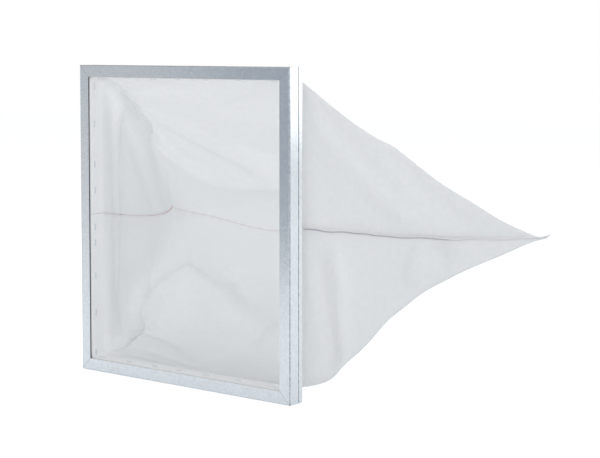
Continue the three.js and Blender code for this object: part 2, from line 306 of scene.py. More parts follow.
def needledFelt():
    material = newMaterial("needledPolyesterFelt")
    flat = addNode(material, "ShaderNodeUVMap", uv_map="UVMap").outputs["UV"]      # metres on the flat cloth
    clouds = addNode(material, "ShaderNodeTexNoise", {
        "Vector": flat, "Scale": feltLook["cloudScale"], "Detail": 4.0, "Roughness": 0.6})
    tone = twoTones(material, clouds.outputs["Fac"], feltLook["dark"], feltLook["light"])
    tone.color_ramp.elements[0].position = feltLook["cloudFrom"]
    tone.color_ramp.elements[1].position = feltLook["cloudTo"]
    nap = addNode(material, "ShaderNodeTexNoise", {
        "Vector": flat, "Scale": feltLook["napScale"], "Detail": 4.0, "Roughness": 0.7})
    bump = addNode(material, "ShaderNodeBump", {
        "Height": combine(material, "ADD", clouds.outputs["Fac"], nap.outputs["Fac"]),
        "Strength": feltLook["relief"],
        "Distance": feltLook["reliefDepth"],
    })
    surface = addNode(material, "ShaderNodeBsdfPrincipled", {
        "Base Color": tone.outputs["Color"],
        "Roughness": feltLook["rough"],
        "Specular IOR Level": feltLook["specular"],
        "Sheen Weight": feltLook["sheen"],
        "Sheen Roughness": feltLook["sheenRough"],
        "Normal": bump.outputs["Normal"],
    })
    through = addNode(material, "ShaderNodeBsdfTranslucent", {
        "Color": tone.outputs["Color"], "Normal": bump.outputs["Normal"]})
    flatAxes = addNode(material, "ShaderNodeSeparateXYZ", {"Vector": flat})
    free = addNode(material, "ShaderNodeMapRange", {
        "Value": flatAxes.outputs["Y"],
        "From Min": feltLook["hemEnd"],
        "From Max": feltLook["freeStart"],
        "To Min": feltLook["lightOverHem"],
        "To Max": feltLook["lightFree"],
    })
    toSurface(material, mixShaders(material, free.outputs[0], surface, through))
    return material


# spun polyester sewing thread: a soft sheen broken by its twist

threadLook = {
    "overlock": ("#403050", "#66587b", 0.7),       # dark and light tone of the twist, and roughness
    "pale": ("#c4bccb", "#dcd6e0", 0.7),
    "stitch": ("#b84e58", "#d58085", 0.6),
    "twistScale": 2200.0,
    "sheen": 0.2,
}


def sewingThread(name, dark, light, rough):
    material = newMaterial(name)
    twist = addNode(material, "ShaderNodeTexNoise", {
        "Vector": objectPlace(material), "Scale": threadLook["twistScale"], "Detail": 2.0})
    tone = twoTones(material, twist.outputs["Fac"], dark, light)
    toSurface(material, addNode(material, "ShaderNodeBsdfPrincipled", {
        "Base Color": tone.outputs["Color"], "Roughness": rough, "Sheen Weight": threadLook["sheen"]}))
    return material


uprightZinc = galvanisedSheet("galvanisedUprights", "z")
crossZinc = galvanisedSheet("galvanisedCrossRails", "x")
stripSteel = plainStrip()
plated = stapleWire()
felt = needledFelt()
overlockThread = sewingThread("darkOverlockThread", *threadLook["overlock"])
paleThread = sewingThread("paleOverlockThread", *threadLook["pale"])
stitchThread = sewingThread("redStitchThread", *threadLook["stitch"])
print("materials made")

nodeFinish = {
    "rail_left": uprightZinc,
    "rail_right": uprightZinc,
    "rail_": crossZinc,
    "retaining_strip_": stripSteel,
    "corner_key_": stripSteel,
    "staple_": plated,
}

# the longer beginnings come first, so the uprights keep their own finish
for name, node in nodes.items():
    for start, material in nodeFinish.items():
        if name.startswith(start):
            node.data.materials.clear()
            node.data.materials.append(material)
            break
print("header and staples finished")


# the bag: a flat envelope of cloth, opened by the frame and settled by simulation

bag = {
    "width": 0.350,            # header frame
    "height": 0.400,
    "front": -0.0125,          # front face of the header
    "mouthInset": 0.0157,      # middle of the cloth, in from the outside of the header
    "tailInset": 0.0125,       # the hem's tail, folded back outside it
    "hemFront": 0.0057,        # where the folded edge turns straight, from the front face
    "backOfFrame": 0.0256,     # where the free cloth starts, from the front face
    "length": 0.313,           # from there to the back seam
    "flare": 0.167,            # how far a back corner stands out beyond the mouth
    "seamBow": 1.6,            # above 1, the sides leave the frame straight and flare later
    "seamHeight": 0.205,       # the side seams at the frame
    "cornerHeight": 0.178,     # both back corners
    "seamSag": 0.006,
    "seamLift": 0.006,         # the right seam leaves the frame a little higher
    "liftRun": 0.04,           # share of the length in which it gets there
    "backSag": 0.018,          # middle of the back seam, below its corners
    "backWave": 0.005,
    "backHalfWaves": 5,
    "shoulder": 0.020,         # lifts the two upper folds off a straight line, by up to four fifths of this
    "upperSag": 0.010,
    "hangRound": 1.4,          # the lower panel across: 1 hangs as a V, 2 as a round bow
    "softness": 0.010,         # how far to each side a fold is rounded
    "openFold": 0.026,         # the left folds open out that much more towards the back
    "openStart": 0.3,
    "openRun": 0.35,
    "allowance": 0.008,
    "thickness": 0.0013,
    "panelGap": 0.0001,        # between the two cloths of a seam
    "finer": 1,                # each cell of the cloth is divided this many times
    "smoothUnder": 50,         # degrees; sharper edges, such as the cut ones, stay hard
    "flatWidth": 0.690,        # size of a panel laid flat, without allowances and hem
    "flatLength": 0.396,
    "hemLength": 0.036,        # cloth in the hem and inside the frame
    "up": 24,                  # cells from a side seam to a corner of the mouth
    "across": 42,
    "back": 46,
}
columns = 2 * bag["up"] + bag["across"]
rows = bag["back"]

# heights of the lower panel in millimetres above the mouth's lower edge, at shares of the bag's length
foldKnots = [(0, 0), (0.1, -4), (0.22, 1), (0.36, 34), (0.5, 86), (0.7, 118)]       # its left and right fold
hangKnots = [(0, 0), (0.12, -5), (0.3, 4), (0.45, 28), (0.62, 70), (0.8, 110)]      # its middle


def heightAlong(knots, last, t):
    # height at t of a smooth line through the knots, which ends at last
    points = [(x, bag["mouthInset"] + y * mm) for x, y in knots] + [(1, last)]
    i = next(k for k in range(1, len(points)) if points[k][0] >= t or k == len(points) - 1)
    (x0, y0), (x1, y1) = points[i - 1], points[i]
    before = points[max(i - 2, 0)]
    after = points[min(i + 1, len(points) - 1)]
    run = x1 - x0
    slopeStart = (y1 - before[1]) / (x1 - before[0]) * run
    slopeEnd = (after[1] - y0) / (after[0] - x0) * run
    u = (t - x0) / run
    return ((2 * u**3 - 3 * u**2 + 1) * y0 + (u**3 - 2 * u**2 + u) * slopeStart
            + (3 * u**2 - 2 * u**3) * y1 + (u**3 - u**2) * slopeEnd)


def upperFold(t):
    start = bag["height"] - bag["mouthInset"]
    stand = bag["shoulder"] * math.sin(math.pi * math.sqrt(max(t, 0))) * (1 - t)
    return lerp(start, bag["cornerHeight"], t) + stand


def reachAt(t):
    return bag["width"] / 2 - bag["mouthInset"] + bag["flare"] * max(t, 0) ** bag["seamBow"]


def depthAt(t):
    return bag["front"] + bag["backOfFrame"] + bag["length"] * t


def seamPoint(side, t):
    height = lerp(bag["seamHeight"], bag["cornerHeight"], t) - bag["seamSag"] * math.sin(math.pi * t)
    if side > 0:
        # highest just behind the frame, eased down to nothing at the back corner
        height += bag["seamLift"] * min(t / bag["liftRun"], 1) * (1 - t)**2 * (1 + 2 * t)
    return Vector((side * reachAt(t), depthAt(t), height))


def backSeamHeight(across):
    inner = 1 - (2 * across - 1)**4      # 0 at both corners, 1 in the middle
    wave = bag["backWave"] * math.sin(bag["backHalfWaves"] * math.pi * across) * inner
    return bag["cornerHeight"] - bag["backSag"] * inner + wave


def riseOf(upper):
    # from the side seam to the top or bottom of the mouth
    if upper:
        return bag["height"] - bag["mouthInset"] - bag["seamHeight"]
    return bag["seamHeight"] - bag["mouthInset"]


def runOf(upper):
    # a panel's run round the mouth, from side seam to side seam
    return 2 * riseOf(upper) + bag["width"] - 2 * bag["mouthInset"]


def panelPoint(upper, place, t):
    # place is the run from the left seam; the wall beside each seam narrows to nothing at the back corners
    rise = riseOf(upper)
    mouthWidth = bag["width"] - 2 * bag["mouthInset"]
    total = 2 * rise + mouthWidth
    place = min(max(place, 0), total)
    folded = rise * (1 - t)
    height = upperFold(t) if upper else heightAlong(foldKnots, bag["cornerHeight"], t)

    def fold(side):
        return Vector((side * reachAt(t), depthAt(t), height))

    if place < folded:
        return seamPoint(-1, t).lerp(fold(-1), place / folded)
    if total - place < folded:
        return seamPoint(1, t).lerp(fold(1), (total - place) / folded)
    across = min((place - folded) / (total - 2 * folded), 1)
    point = fold(-1).lerp(fold(1), across)
    fromMiddle = abs(2 * across - 1)
    edge = backSeamHeight(across) - bag["cornerHeight"]
    if upper:
        point.z += edge * t**2 - bag["upperSag"] * math.sin(math.pi * t) * (1 - fromMiddle**2)
    else:
        # the middle hangs along its own knots, and only the last part follows the back seam
        middle = heightAlong(hangKnots, bag["cornerHeight"] - bag["backSag"], t)
        hang = (1 - fromMiddle**bag["hangRound"]) * (1 - t**6)
        point.z = lerp(point.z, middle, hang) + edge * t**6
    return point


def shareOf(rise, column):
    # where a column of cells lies on the flat cloth, as a share of its width
    mouthWidth = bag["width"] - 2 * bag["mouthInset"]
    up = bag["up"]
    if column <= up:
        place = rise * column / up
    elif column >= columns - up:
        place = 2 * rise + mouthWidth - rise * (columns - column) / up
    else:
        place = rise + mouthWidth * (column - up) / bag["across"]
    return place / (2 * rise + mouthWidth)


def placeOf(upper, column, t):
    # the two panels meet at the back, so their cells line up there
    middle = (riseOf(True) + riseOf(False)) / 2
    return runOf(upper) * lerp(shareOf(riseOf(upper), column), shareOf(middle, column), t)


def softPoint(upper, place, t):
    # folds are rounded by averaging over a width that grows from nothing at the frame
    total = runOf(upper)
    reach = bag["softness"] * math.sin(math.pi * min(t, 0.5))
    if place < total / 2:
        reach += bag["openFold"] * clamped((t - bag["openStart"]) / bag["openRun"]) * (1 - t**4)
    spread = min(reach, place, total - place)
    samples = (-1, -0.5, 0, 0.5, 1)
    point = Vector()
    for share in samples:
        point += panelPoint(upper, place + share * spread, t) * (1 / len(samples))
    return point


# Creases of this bag, seen in the photo: cells across from the left seam and share of the bag's length.
# A positive height stands out of the bag, a negative one into it.
creases = [
    {"upper": True, "height": -0.014, "width": 0.022,
     "path": [(21, 0.02), (17, 0.14), (15, 0.27), (15, 0.4), (17, 0.51),
              (20, 0.59), (25, 0.62), (32, 0.61), (43, 0.59), (56, 0.62)]},
    {"upper": False, "height": -0.017, "width": 0.026,
     "path": [(22, 0.03), (18, 0.24), (18, 0.41), (21, 0.53),
              (27, 0.53), (36, 0.50), (48, 0.44), (58, 0.38)]},
    {"upper": False, "height": -0.008, "width": 0.012,
     "path": [(20, 0.54), (17, 0.63), (13, 0.72), (6, 0.85)]},
    {"upper": False, "height": 0.009, "width": 0.010,
     "path": [(29, 0.64), (32, 0.59), (40, 0.48), (46, 0.42)]},
    {"upper": True, "height": 0.004, "width": 0.010,
     "path": [(33, 0.93), (30, 0.82), (36, 0.76)]},
    {"upper": True, "height": 0.009, "width": 0.018,
     "path": [(78, 0.44), (80, 0.5), (82, 0.55), (85, 0.62), (87, 0.67), (89, 0.72)]},
    {"upper": True, "height": -0.004, "width": 0.012,
     "path": [(76, 0.14), (79, 0.24), (83, 0.36), (87, 0.48)]},
    {"upper": False, "height": -0.008, "width": 0.010,
     "path": [(86, 0.21), (83, 0.24), (80, 0.24), (78, 0.24), (74, 0.26)]},
    {"upper": False, "height": 0.006, "width": 0.012,
     "path": [(84, 0.12), (81, 0.14), (77, 0.17), (74, 0.19)]},
    {"upper": False, "height": -0.005, "width": 0.007,
     "path": [(88, 0.57), (86, 0.54), (83, 0.52)]},
    {"upper": False, "height": 0.009, "width": 0.010,
     "path": [(88, 0.63), (85, 0.63), (82, 0.57), (80, 0.52), (79, 0.48)]},
]

creaseSet = {
    "crestRound": 0.005,       # radius of a crease's crest in stiff felt
    "ripple": 0.0014,          # slow unevenness of the whole cloth
    "rippleScale": 16,
    "upperLayer": 0.3,         # the two panels ripple differently
    "lowerLayer": 5.3,
    "fadeFront": 0.08,         # shares of the length in which creases start and end
    "fadeBack": 0.06,
    "fadeCells": 3,            # and cells beside a side seam
    "putBack": 0.5,            # share of each crease that is put back after the simulation
}

# the left wall runs straight behind the mouth, then steps outward
wallStep = {
    "out": 0.009,
    "run": 0.008,              # metres along the cloth in which it steps out
    "fade": 0.075,             # and in which most of the step is gone again
    "cells": 22,
    "start": 0.145,            # shares of the length: where it starts beside the seam
    "endRun": 0.3,             # and the last part, in which it runs out
}


def flatPlace(upper, column, t):
    share = placeOf(upper, column, t) / runOf(upper) - 0.5
    return Vector((share * bag["flatWidth"], t * bag["flatLength"], 0))


def distanceToPath(point, path):
    best = None
    for a, b in zip(path, path[1:]):
        run = b - a
        share = clamped((point - a).dot(run) / run.length_squared)
        gap = (point - a.lerp(b, share)).length
        best = gap if best is None else min(best, gap)
    return best


creasePaths = {True: [], False: []}
for crease in creases:
    marks = [flatPlace(crease["upper"], column, t) for column, t in crease["path"]]
    creasePaths[crease["upper"]].append((crease, marks))


def stepHeight(column, t):
    edge = column / wallStep["cells"]
    beyond = (t - wallStep["start"] * math.sqrt(1 - edge**2)) * bag["flatLength"]
    rise = clamped(beyond / wallStep["run"])
    drop = math.exp(-max(beyond - wallStep["run"], 0) / wallStep["fade"])
    out = wallStep["out"] * (1 - edge**2) * rise**2 * (3 - 2 * rise)
    return out * drop * min((1 - t) / wallStep["endRun"], 1)


def creaseHeight(upper, column, t):
    here = flatPlace(upper, column, t)
    layer = creaseSet["upperLayer"] if upper else creaseSet["lowerLayer"]
    scale = creaseSet["rippleScale"]
    height = creaseSet["ripple"] * noise.noise(Vector((here.x * scale, here.y * scale, layer)))
    for crease, path in creasePaths[upper]:
        crest = creaseSet["crestRound"]
        beside = math.hypot(distanceToPath(here, path), crest) - crest
        height += crease["height"] * math.exp(-beside / crease["width"])
    ends = min(t / creaseSet["fadeFront"], 1) * min((1 - t) / creaseSet["fadeBack"], 1)
    sides = min(column / creaseSet["fadeCells"], 1) * min((columns - column) / creaseSet["fadeCells"], 1)
    height *= ends * sides
    if column < wallStep["cells"]:
        height += stepHeight(column, t)
    return height


def creased(grid, upper, share):
    # a panel's grid of points, moved out or in along the creases
    moved = []
    for row in range(rows + 1):
        line = []
        for column in range(columns + 1):
            along = grid[row][min(column + 1, columns)] - grid[row][max(column - 1, 0)]
            back = grid[min(row + 1, rows)][column] - grid[max(row - 1, 0)][column]
            outward = along.cross(back).normalized() * (1 if upper else -1)
            if column in (0, columns):
                outward = Vector((-1 if column == 0 else 1, 0, 0))
            height = creaseHeight(upper, column, row / rows)
            line.append(grid[row][column] + outward * height * share)
        moved.append(line)
    return moved


def gridOf(pointAt):
    return [[pointAt(column, row) for column in range(columns + 1)] for row in range(rows + 1)]


shapedBag = {}
for upper in (True, False):
    softened = gridOf(lambda column, row: softPoint(upper, placeOf(upper, column, row / rows), row / rows))
    shapedBag[upper] = creased(softened, upper, 1)
print("bag shaped")


# the cloth simulation, with the flat envelope as the cloth's rest shape

settle = {
    "frames": 40,
    "hold": 0.1,               # a light hold keeps the stiff felt near its sewn shape
    "gravity": 0.05,
    "quality": 7,
    "mass": 0.15,
    "air": 3,
    "tension": 30,
    "compression": 20,
    "shear": 8,
    "bending": 0.6,
    "damping": 15,
    "apart": 0.0015,           # least distance between two layers of cloth
    "weld": 0.00002,           # points of the two panels closer than this are sewn together
    "flatLift": 0.001,         # the flat panels lie this far above and below the seam
}


def makeSleeve():
    # one grid that runs across the upper panel and back across the lower one, sewn at its ends
    bpy.ops.mesh.primitive_grid_add(x_subdivisions=2 * columns, y_subdivisions=rows, size=1)
    sleeve = bpy.context.object
    sleeve.name = "settlingBag"
    mesh = sleeve.data
    shaped, flat, keys = [], [], []
    for row in range(rows + 1):
        for step in range(2 * columns + 1):
            upper = step <= columns
            column = step if upper else 2 * columns - step
            lift = settle["flatLift"] if upper else -settle["flatLift"]
            if column in (0, columns) or row == rows:
                lift = 0
            shaped.append(shapedBag[upper][row][column])
            flat.append(flatPlace(upper, column, row / rows) + Vector((0, 0, lift)))
            keys.append((upper, column, row))
    tag = mesh.attributes.new("tag", "INT", "POINT")
    for i, point in enumerate(shaped):
        mesh.vertices[i].co = point
        tag.data[i].value = i
    sleeve.shape_key_add(name="Basis")
    flatKey = sleeve.shape_key_add(name="flat")
    for i, point in enumerate(flat):
        flatKey.data[i].co = point
    makeActive(sleeve)
    bpy.ops.object.mode_set(mode="EDIT")
    bpy.ops.mesh.select_all(action="SELECT")
    bpy.ops.mesh.remove_doubles(threshold=settle["weld"])
    bpy.ops.object.mode_set(mode="OBJECT")
    return sleeve, flatKey, [keys[item.value] for item in mesh.attributes["tag"].data]


def settleBag():
    sleeve, flatKey, keys = makeSleeve()
    pins = sleeve.vertex_groups.new(name="held")
    for index, key in enumerate(keys):
        column, row = key[1:]
        fixed = row == 0 or (row == rows and column in (0, columns))
        pins.add([index], 1.0 if fixed else settle["hold"], "REPLACE")
    cloth = sleeve.modifiers.new("cloth", "CLOTH")
    setting = cloth.settings
    setting.quality = settle["quality"]
    setting.mass = settle["mass"]
    setting.air_damping = settle["air"]
    setting.tension_stiffness = settle["tension"]
    setting.compression_stiffness = settle["compression"]
    setting.shear_stiffness = settle["shear"]
    setting.bending_stiffness = settle["bending"]
    setting.tension_damping = settle["damping"]
    setting.compression_damping = settle["damping"]
    setting.shear_damping = settle["damping"]
    setting.vertex_group_mass = "held"
    setting.rest_shape_key = flatKey
    setting.effector_weights.gravity = settle["gravity"]
    cloth.collision_settings.use_self_collision = True
    cloth.collision_settings.self_distance_min = settle["apart"]
    cloth.collision_settings.use_collision = False
    cloth.point_cache.frame_start = 1
    cloth.point_cache.frame_end = settle["frames"]
    for number in range(1, settle["frames"] + 1):
        scene.frame_set(number)
    settled = sleeve.evaluated_get(bpy.context.evaluated_depsgraph_get())
    found = {}
    for index, key in enumerate(keys):
        found[key] = settled.data.vertices[index].co.copy()
    scene.frame_set(1)
    bpy.data.objects.remove(sleeve)
    return found


def fallenPoint(fallen, upper, column, row):
    # a point on a seam belongs to both panels, and is kept under one of them
    key = (upper, column, row)
    return fallen[key] if key in fallen else fallen[(not upper, column, row)]


# stiff felt keeps a crease sharper than the simulation does, so part of it is put back
fallen = settleBag()
for upper in (True, False):
    lying = gridOf(lambda column, row: fallenPoint(fallen, upper, column, row))
    shapedBag[upper] = creased(lying, upper, creaseSet["putBack"])
print("bag settled")


# the hem inside the frame, the seam allowances and the two panels

hemSet = {
    "tailDepths": (0.010, 0.004, 0.001),       # points of the tail, behind the turn of the folded edge
    "turnSteps": 6,
    "wallShares": (0.2, 0.45, 0.7, 0.88),      # points from the turn to the back of the frame
    "seamGap": 0.0002,         # each panel's edge lies this far from the seam's height
}

fin = {
    "cells": 3,
    "droop": 9,                # degrees below level where the side seam leaves the frame
    "turned": -6,              # and where the allowance has turned up
    "turnStart": 0.62,         # shares of the side seam
    "turnRun": 0.16,
    "curl": 12,                # degrees more, upwards, at the back corner
    "curlStart": 0.86,
    "curlRun": 0.14,
    "waver": 16,
    "waverScale": 13,
    "waverLayer": 0.5,
    "backDroop": -0.2,         # the back seam's allowance droops a little, in radians
    "cornerTurn": 0.25,        # and turns up at both corners
    "cornerCells": 9,
    "thinEdge": 0.65,          # the two cloths are pressed closer at the cut edge
    "frontLift": 0.3,          # and at the frame
}


def settledPoint(upper, column, row):
    return shapedBag[upper][row][column]


def mouthPoint(upper, column, inset, depth):
    halfWidth = bag["width"] / 2 - inset
    far = bag["height"] - inset if upper else inset
    near = bag["seamHeight"] + (hemSet["seamGap"] if upper else -hemSet["seamGap"])
    up = bag["up"]
    y = bag["front"] + depth
    if column < up:
        return Vector((-halfWidth, y, lerp(near, far, column / up)))
    if column > columns - up:
        return Vector((halfWidth, y, lerp(near, far, (columns - column) / up)))
    return Vector((lerp(-halfWidth, halfWidth, (column - up) / bag["across"]), y, far))


def hemPath():
    # inset and depth of each row, from the tail round the folded edge to the back of the frame
    middle = (bag["mouthInset"] + bag["tailInset"]) / 2
    radius = (bag["mouthInset"] - bag["tailInset"]) / 2
    front = bag["hemFront"]
    path = [(bag["tailInset"], front + depth) for depth in hemSet["tailDepths"]]
    for i in range(hemSet["turnSteps"] + 1):
        angle = math.pi * i / hemSet["turnSteps"]
        path.append((middle - radius * math.cos(angle), front - radius * math.sin(angle)))
    straight = bag["backOfFrame"] - front
    path += [(bag["mouthInset"], front + share * straight) for share in hemSet["wallShares"]]
    return path


hem = hemPath()
firstBody = len(hem)


def halfLift(upper):
    return (0.5 if upper else -0.5) * (bag["thickness"] + bag["panelGap"])


def seamFrame(side, row):
    # place of a side seam, the direction in which its allowance stands out, and the upward normal
    column = 0 if side < 0 else columns
    here = settledPoint(True, column, row)
    ahead = settledPoint(True, column, min(row + 1, rows))
    behind = settledPoint(True, column, max(row - 1, 0))
    run = (ahead - behind).normalized()
    level = Vector((side * run.y, -side * run.x, 0)).normalized()
    t = row / rows
    turned = clamped((t - fin["turnStart"]) / fin["turnRun"])
    curled = clamped((t - fin["curlStart"]) / fin["curlRun"])
    waver = noise.noise(Vector((t * fin["waverScale"], side, fin["waverLayer"])))
    degrees = lerp(fin["droop"], fin["turned"], turned) - fin["curl"] * curled**2 + fin["waver"] * waver
    droop = math.radians(degrees)
    out = level * math.cos(droop) + Vector((0, 0, -math.sin(droop)))
    normal = run.cross(out).normalized()
    if normal.z < 0:
        normal = -normal
    return here, out, normal


def backFin(column):
    # the direction in which the back seam's allowance stands out
    nearest = min(max(column, 0), max(columns - column, 0)) / fin["cornerCells"]
    angle = lerp(fin["cornerTurn"], fin["backDroop"], min(nearest, 1))
    return Vector((0, math.cos(angle), math.sin(angle)))


def finPoint(upper, column, row):
    # a point of the seam allowance, outside the grid of the panel
    bodyRow = min(row - firstBody, rows)
    beyond = max(row - firstBody - rows, 0)
    sideways = -column if column < 0 else max(column - columns, 0)
    step = bag["allowance"] / fin["cells"]
    lift = halfLift(upper) * lerp(1, fin["thinEdge"], max(sideways, beyond) / fin["cells"])
    back = backFin(column)
    if sideways:
        here, out, normal = seamFrame(-1 if column < 0 else 1, bodyRow)
        return here + out * sideways * step + back * beyond * step + normal * lift
    here = settledPoint(upper, column, rows)
    return here + back * beyond * step + Vector((0, 0, lift))


def clothPoint(upper, column, row):
    if row < firstBody:
        # the hem has no allowances, so the columns outside it are laid on its edge and dropped later
        return mouthPoint(upper, min(max(column, 0), columns), *hem[row])
    bodyRow = row - firstBody
    if column < 0 or column > columns or bodyRow > rows:
        return finPoint(upper, column, row)
    point = settledPoint(upper, column, bodyRow).copy()
    lift = halfLift(upper)
    if column in (0, columns):
        normal = seamFrame(-1 if column == 0 else 1, bodyRow)[2]
        point += normal * lift * (1 if bodyRow else fin["frontLift"])
    elif bodyRow == rows:
        point.z += lift
    return point


def makePanel(name, upper):
    wide = columns + 2 * fin["cells"]
    long = firstBody + rows + fin["cells"]
    deselectAll()
    bpy.ops.mesh.primitive_grid_add(x_subdivisions=wide, y_subdivisions=long, size=1)
    panel = bpy.context.object
    panel.name = name
    mesh = panel.data
    mesh.uv_layers[0].name = "UVMap"
    cutPlaces = []
    cellWide = bag["flatWidth"] / columns
    for row in range(long + 1):
        for step in range(wide + 1):
            column = step - fin["cells"]
            mesh.vertices[row * (wide + 1) + step].co = clothPoint(upper, column, row)
            cutPlaces.append((column * cellWide, (row - firstBody) * bag["flatLength"] / rows))
    for loop in mesh.loops:
        mesh.uv_layers[0].data[loop.index].uv = cutPlaces[loop.vertex_index]
    # the allowances start behind the frame: the cells beside the hem are dropped
    makeActive(panel)
    bpy.ops.object.mode_set(mode="EDIT")
    bpy.ops.mesh.select_all(action="DESELECT")
    bpy.ops.object.mode_set(mode="OBJECT")
    for face in mesh.polygons:
        row, step = divmod(min(face.vertices), wide + 1)
        face.select = row < firstBody and not fin["cells"] <= step < fin["cells"] + columns
    bpy.ops.object.mode_set(mode="EDIT")
    bpy.ops.mesh.delete(type="FACE")
    bpy.ops.object.mode_set(mode="OBJECT")
    bpy.ops.object.shade_smooth()
    finer = panel.modifiers.new("finer", "SUBSURF")
    finer.levels = bag["finer"]
    finer.render_levels = bag["finer"]
    finer.uv_smooth = "NONE"
    solid = panel.modifiers.new("thickness", "SOLIDIFY")
    solid.thickness = bag["thickness"]
    solid.offset = 0
    applyModifiers(panel)
    bpy.ops.object.mode_set(mode="EDIT")
    bpy.ops.mesh.select_all(action="SELECT")
    bpy.ops.mesh.normals_make_consistent(inside=False)
    bpy.ops.object.mode_set(mode="OBJECT")
    bpy.ops.object.shade_smooth_by_angle(angle=math.radians(bag["smoothUnder"]))
    dress(panel, felt)
    return panel


upperPanel = makePanel("upperBagPanel", True)
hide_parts("bag_upper_panel")
lowerPanel = makePanel("lowerBagPanel", False)
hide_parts("bag_lower_panel")
print("cloth panels made")


# threads: an overlock round the cut edges, and a chain stitch that holds the two panels together

chain = {
    "pitch": 0.0040,
    "radius": 0.00018,
    "sideLength": 0.0019,      # length of a stitch that shows, on the side seams and the back seam
    "backLength": 0.0012,
    "innerIn": 0.0014,         # how far the inner row lies in from the seam
    "innerBow": 0.0003,        # how much a stitch bends between its two holes
    "outerOut": 0.0012,        # how far the outer row lies out from the seam, and above it
    "outerLift": 0.0016,
    "outerBow": 0.0002,
    "outerStart": 0.56,        # share of the side seam from which the outer row shows
}

lock = {
    "pitch": 0.0032,
    "radius": 0.00027,
    "edgeRadius": 0.00012,
    "depth": 0.0020,           # how far the loops reach in from the edge
    "depthLeast": 0.85,        # shares of that depth, uneven from loop to loop
    "depthMost": 1.1,
    "stand": 0.0004,           # how far they stand out from it
    "lean": 0.0009,
    "clothShare": 0.83,        # share of the cloth's thickness that they lie below the seam's middle
    "slack": 0.0003,
    "rimDrop": 0.0005,
    "edgeDrops": (0.0007, 0.0003),     # the edge thread lies lower and higher by turns
    "start": 0.03,             # shares of the side seam
    "flipAt": 0.66,            # where the allowance turns its pale side up
    "flipGap": 0.005,
}


def sideSeamLine(side):
    # place, outward direction, normal and share along a side seam
    return [(*seamFrame(side, row), row / rows) for row in range(rows + 1)]


def backSeamLine():
    line = []
    for column in range(columns + 1):
        here = settledPoint(True, column, rows)
        line.append((here, backFin(column), Vector((0, 0, 1)), column / columns))
    return line


def spaced(line, pitch):
    # the line's frames again at an even spacing, each with the direction of the seam
    frames, walked, goal = [], 0.0, 0.0
    for (a, outA, upA, shareA), (b, outB, upB, shareB) in zip(line, line[1:]):
        run = (b - a).length
        while goal <= walked + run:
            k = (goal - walked) / run
            frames.append((a.lerp(b, k), outA.lerp(outB, k).normalized(), upA.lerp(upB, k).normalized(),
                           lerp(shareA, shareB, k), (b - a).normalized()))
            goal += pitch
        walked += run
    return frames


def threadPiece(name, strands, radius, material):
    # one mesh of many short strands, each a list of points
    data = bpy.data.curves.new(name, "CURVE")
    data.dimensions = "3D"
    data.bevel_depth = radius
    data.bevel_resolution = 1
    data.resolution_u = 3
    data.use_fill_caps = True
    for strand in strands:
        spline = data.splines.new("BEZIER")
        spline.bezier_points.add(len(strand) - 1)
        for handle, point in zip(spline.bezier_points, strand):
            handle.co = point
            handle.handle_left_type = "AUTO"
            handle.handle_right_type = "AUTO"
    piece = bpy.data.objects.new(name, data)
    scene.collection.objects.link(piece)
    makeActive(piece)
    bpy.ops.object.convert(target="MESH")
    bpy.ops.object.shade_smooth()
    dress(piece, material)


def chainStitch(name, line, length, outer=False, first=0.0):
    # the inner row shows inside the bag, and the outer one lies on the allowance
    strands = []
    for here, out, normal, share, run in spaced(line, chain["pitch"]):
        if share < first:
            continue
        if outer:
            middle = here + out * chain["outerOut"] + normal * chain["outerLift"]
            bow = normal * chain["outerBow"]
        else:
            middle = here - out * chain["innerIn"]
            bow = out * -chain["innerBow"]
        half = run * length / 2
        strands.append([middle - half - bow, middle + bow, middle + half - bow])
    threadPiece(name, strands, chain["radius"], stitchThread)


def overlock(name, line, material, first, last):
    # the thread lies round the lower half of the edge, and the upper cloth stands above it as a pale ridge
    loops, edge = [], []
    half = bag["thickness"] * lock["clothShare"] + lock["slack"]
    for i, (here, out, normal, share, run) in enumerate(spaced(line, lock["pitch"])):
        if not first <= share <= last:
            continue
        depth = lock["depth"] * dice.uniform(lock["depthLeast"], lock["depthMost"])
        rim = here + out * (bag["allowance"] + lock["stand"])
        root = here + out * (bag["allowance"] - depth)
        lean = run * lock["lean"]
        loops.append([
            rim - lean,
            rim - normal * lock["rimDrop"],
            rim - out * lock["stand"] - normal * half,
            root - normal * half + lean,
        ])
        edge.append(rim - normal * lock["edgeDrops"][i % 2])
    threadPiece(name + "Loops", loops, lock["radius"], material)
    threadPiece(name + "Edge", [edge], lock["edgeRadius"], material)


for side, label in ((-1, "left"), (1, "right")):
    sideLine = sideSeamLine(side)
    overlock(label + "Overlock", sideLine, overlockThread, lock["start"], lock["flipAt"])
    overlock(label + "OverlockPale", sideLine, paleThread, lock["flipAt"] + lock["flipGap"], 1.0)
    chainStitch(label + "InnerStitch", sideLine, chain["sideLength"])
    chainStitch(label + "OuterStitch", sideLine, chain["sideLength"], outer=True, first=chain["outerStart"])
backLine = backSeamLine()
overlock("backOverlock", backLine, paleThread, 0.0, 1.0)
chainStitch("backInnerStitch", backLine, chain["backLength"])
chainStitch("backOuterStitch", backLine, chain["backLength"], outer=True)
print("threads sewn")


# floor, world, card and lamps

stageSet = {
    "floorSize": 12.0,
    "floorDrop": 0.0003,       # just below the header, which stands on it
    "floorColour": "#fafbfb",
    "floorGlow": 0.55,         # keeps the floor pale to the camera and in the metal
    "ambient": 0.48,
    "mirrored": 0.86,          # how bright the studio is in the metal
    "skyTint": (0.96, 0.98, 1, 1),
    "white": (1, 1, 1, 1),
}


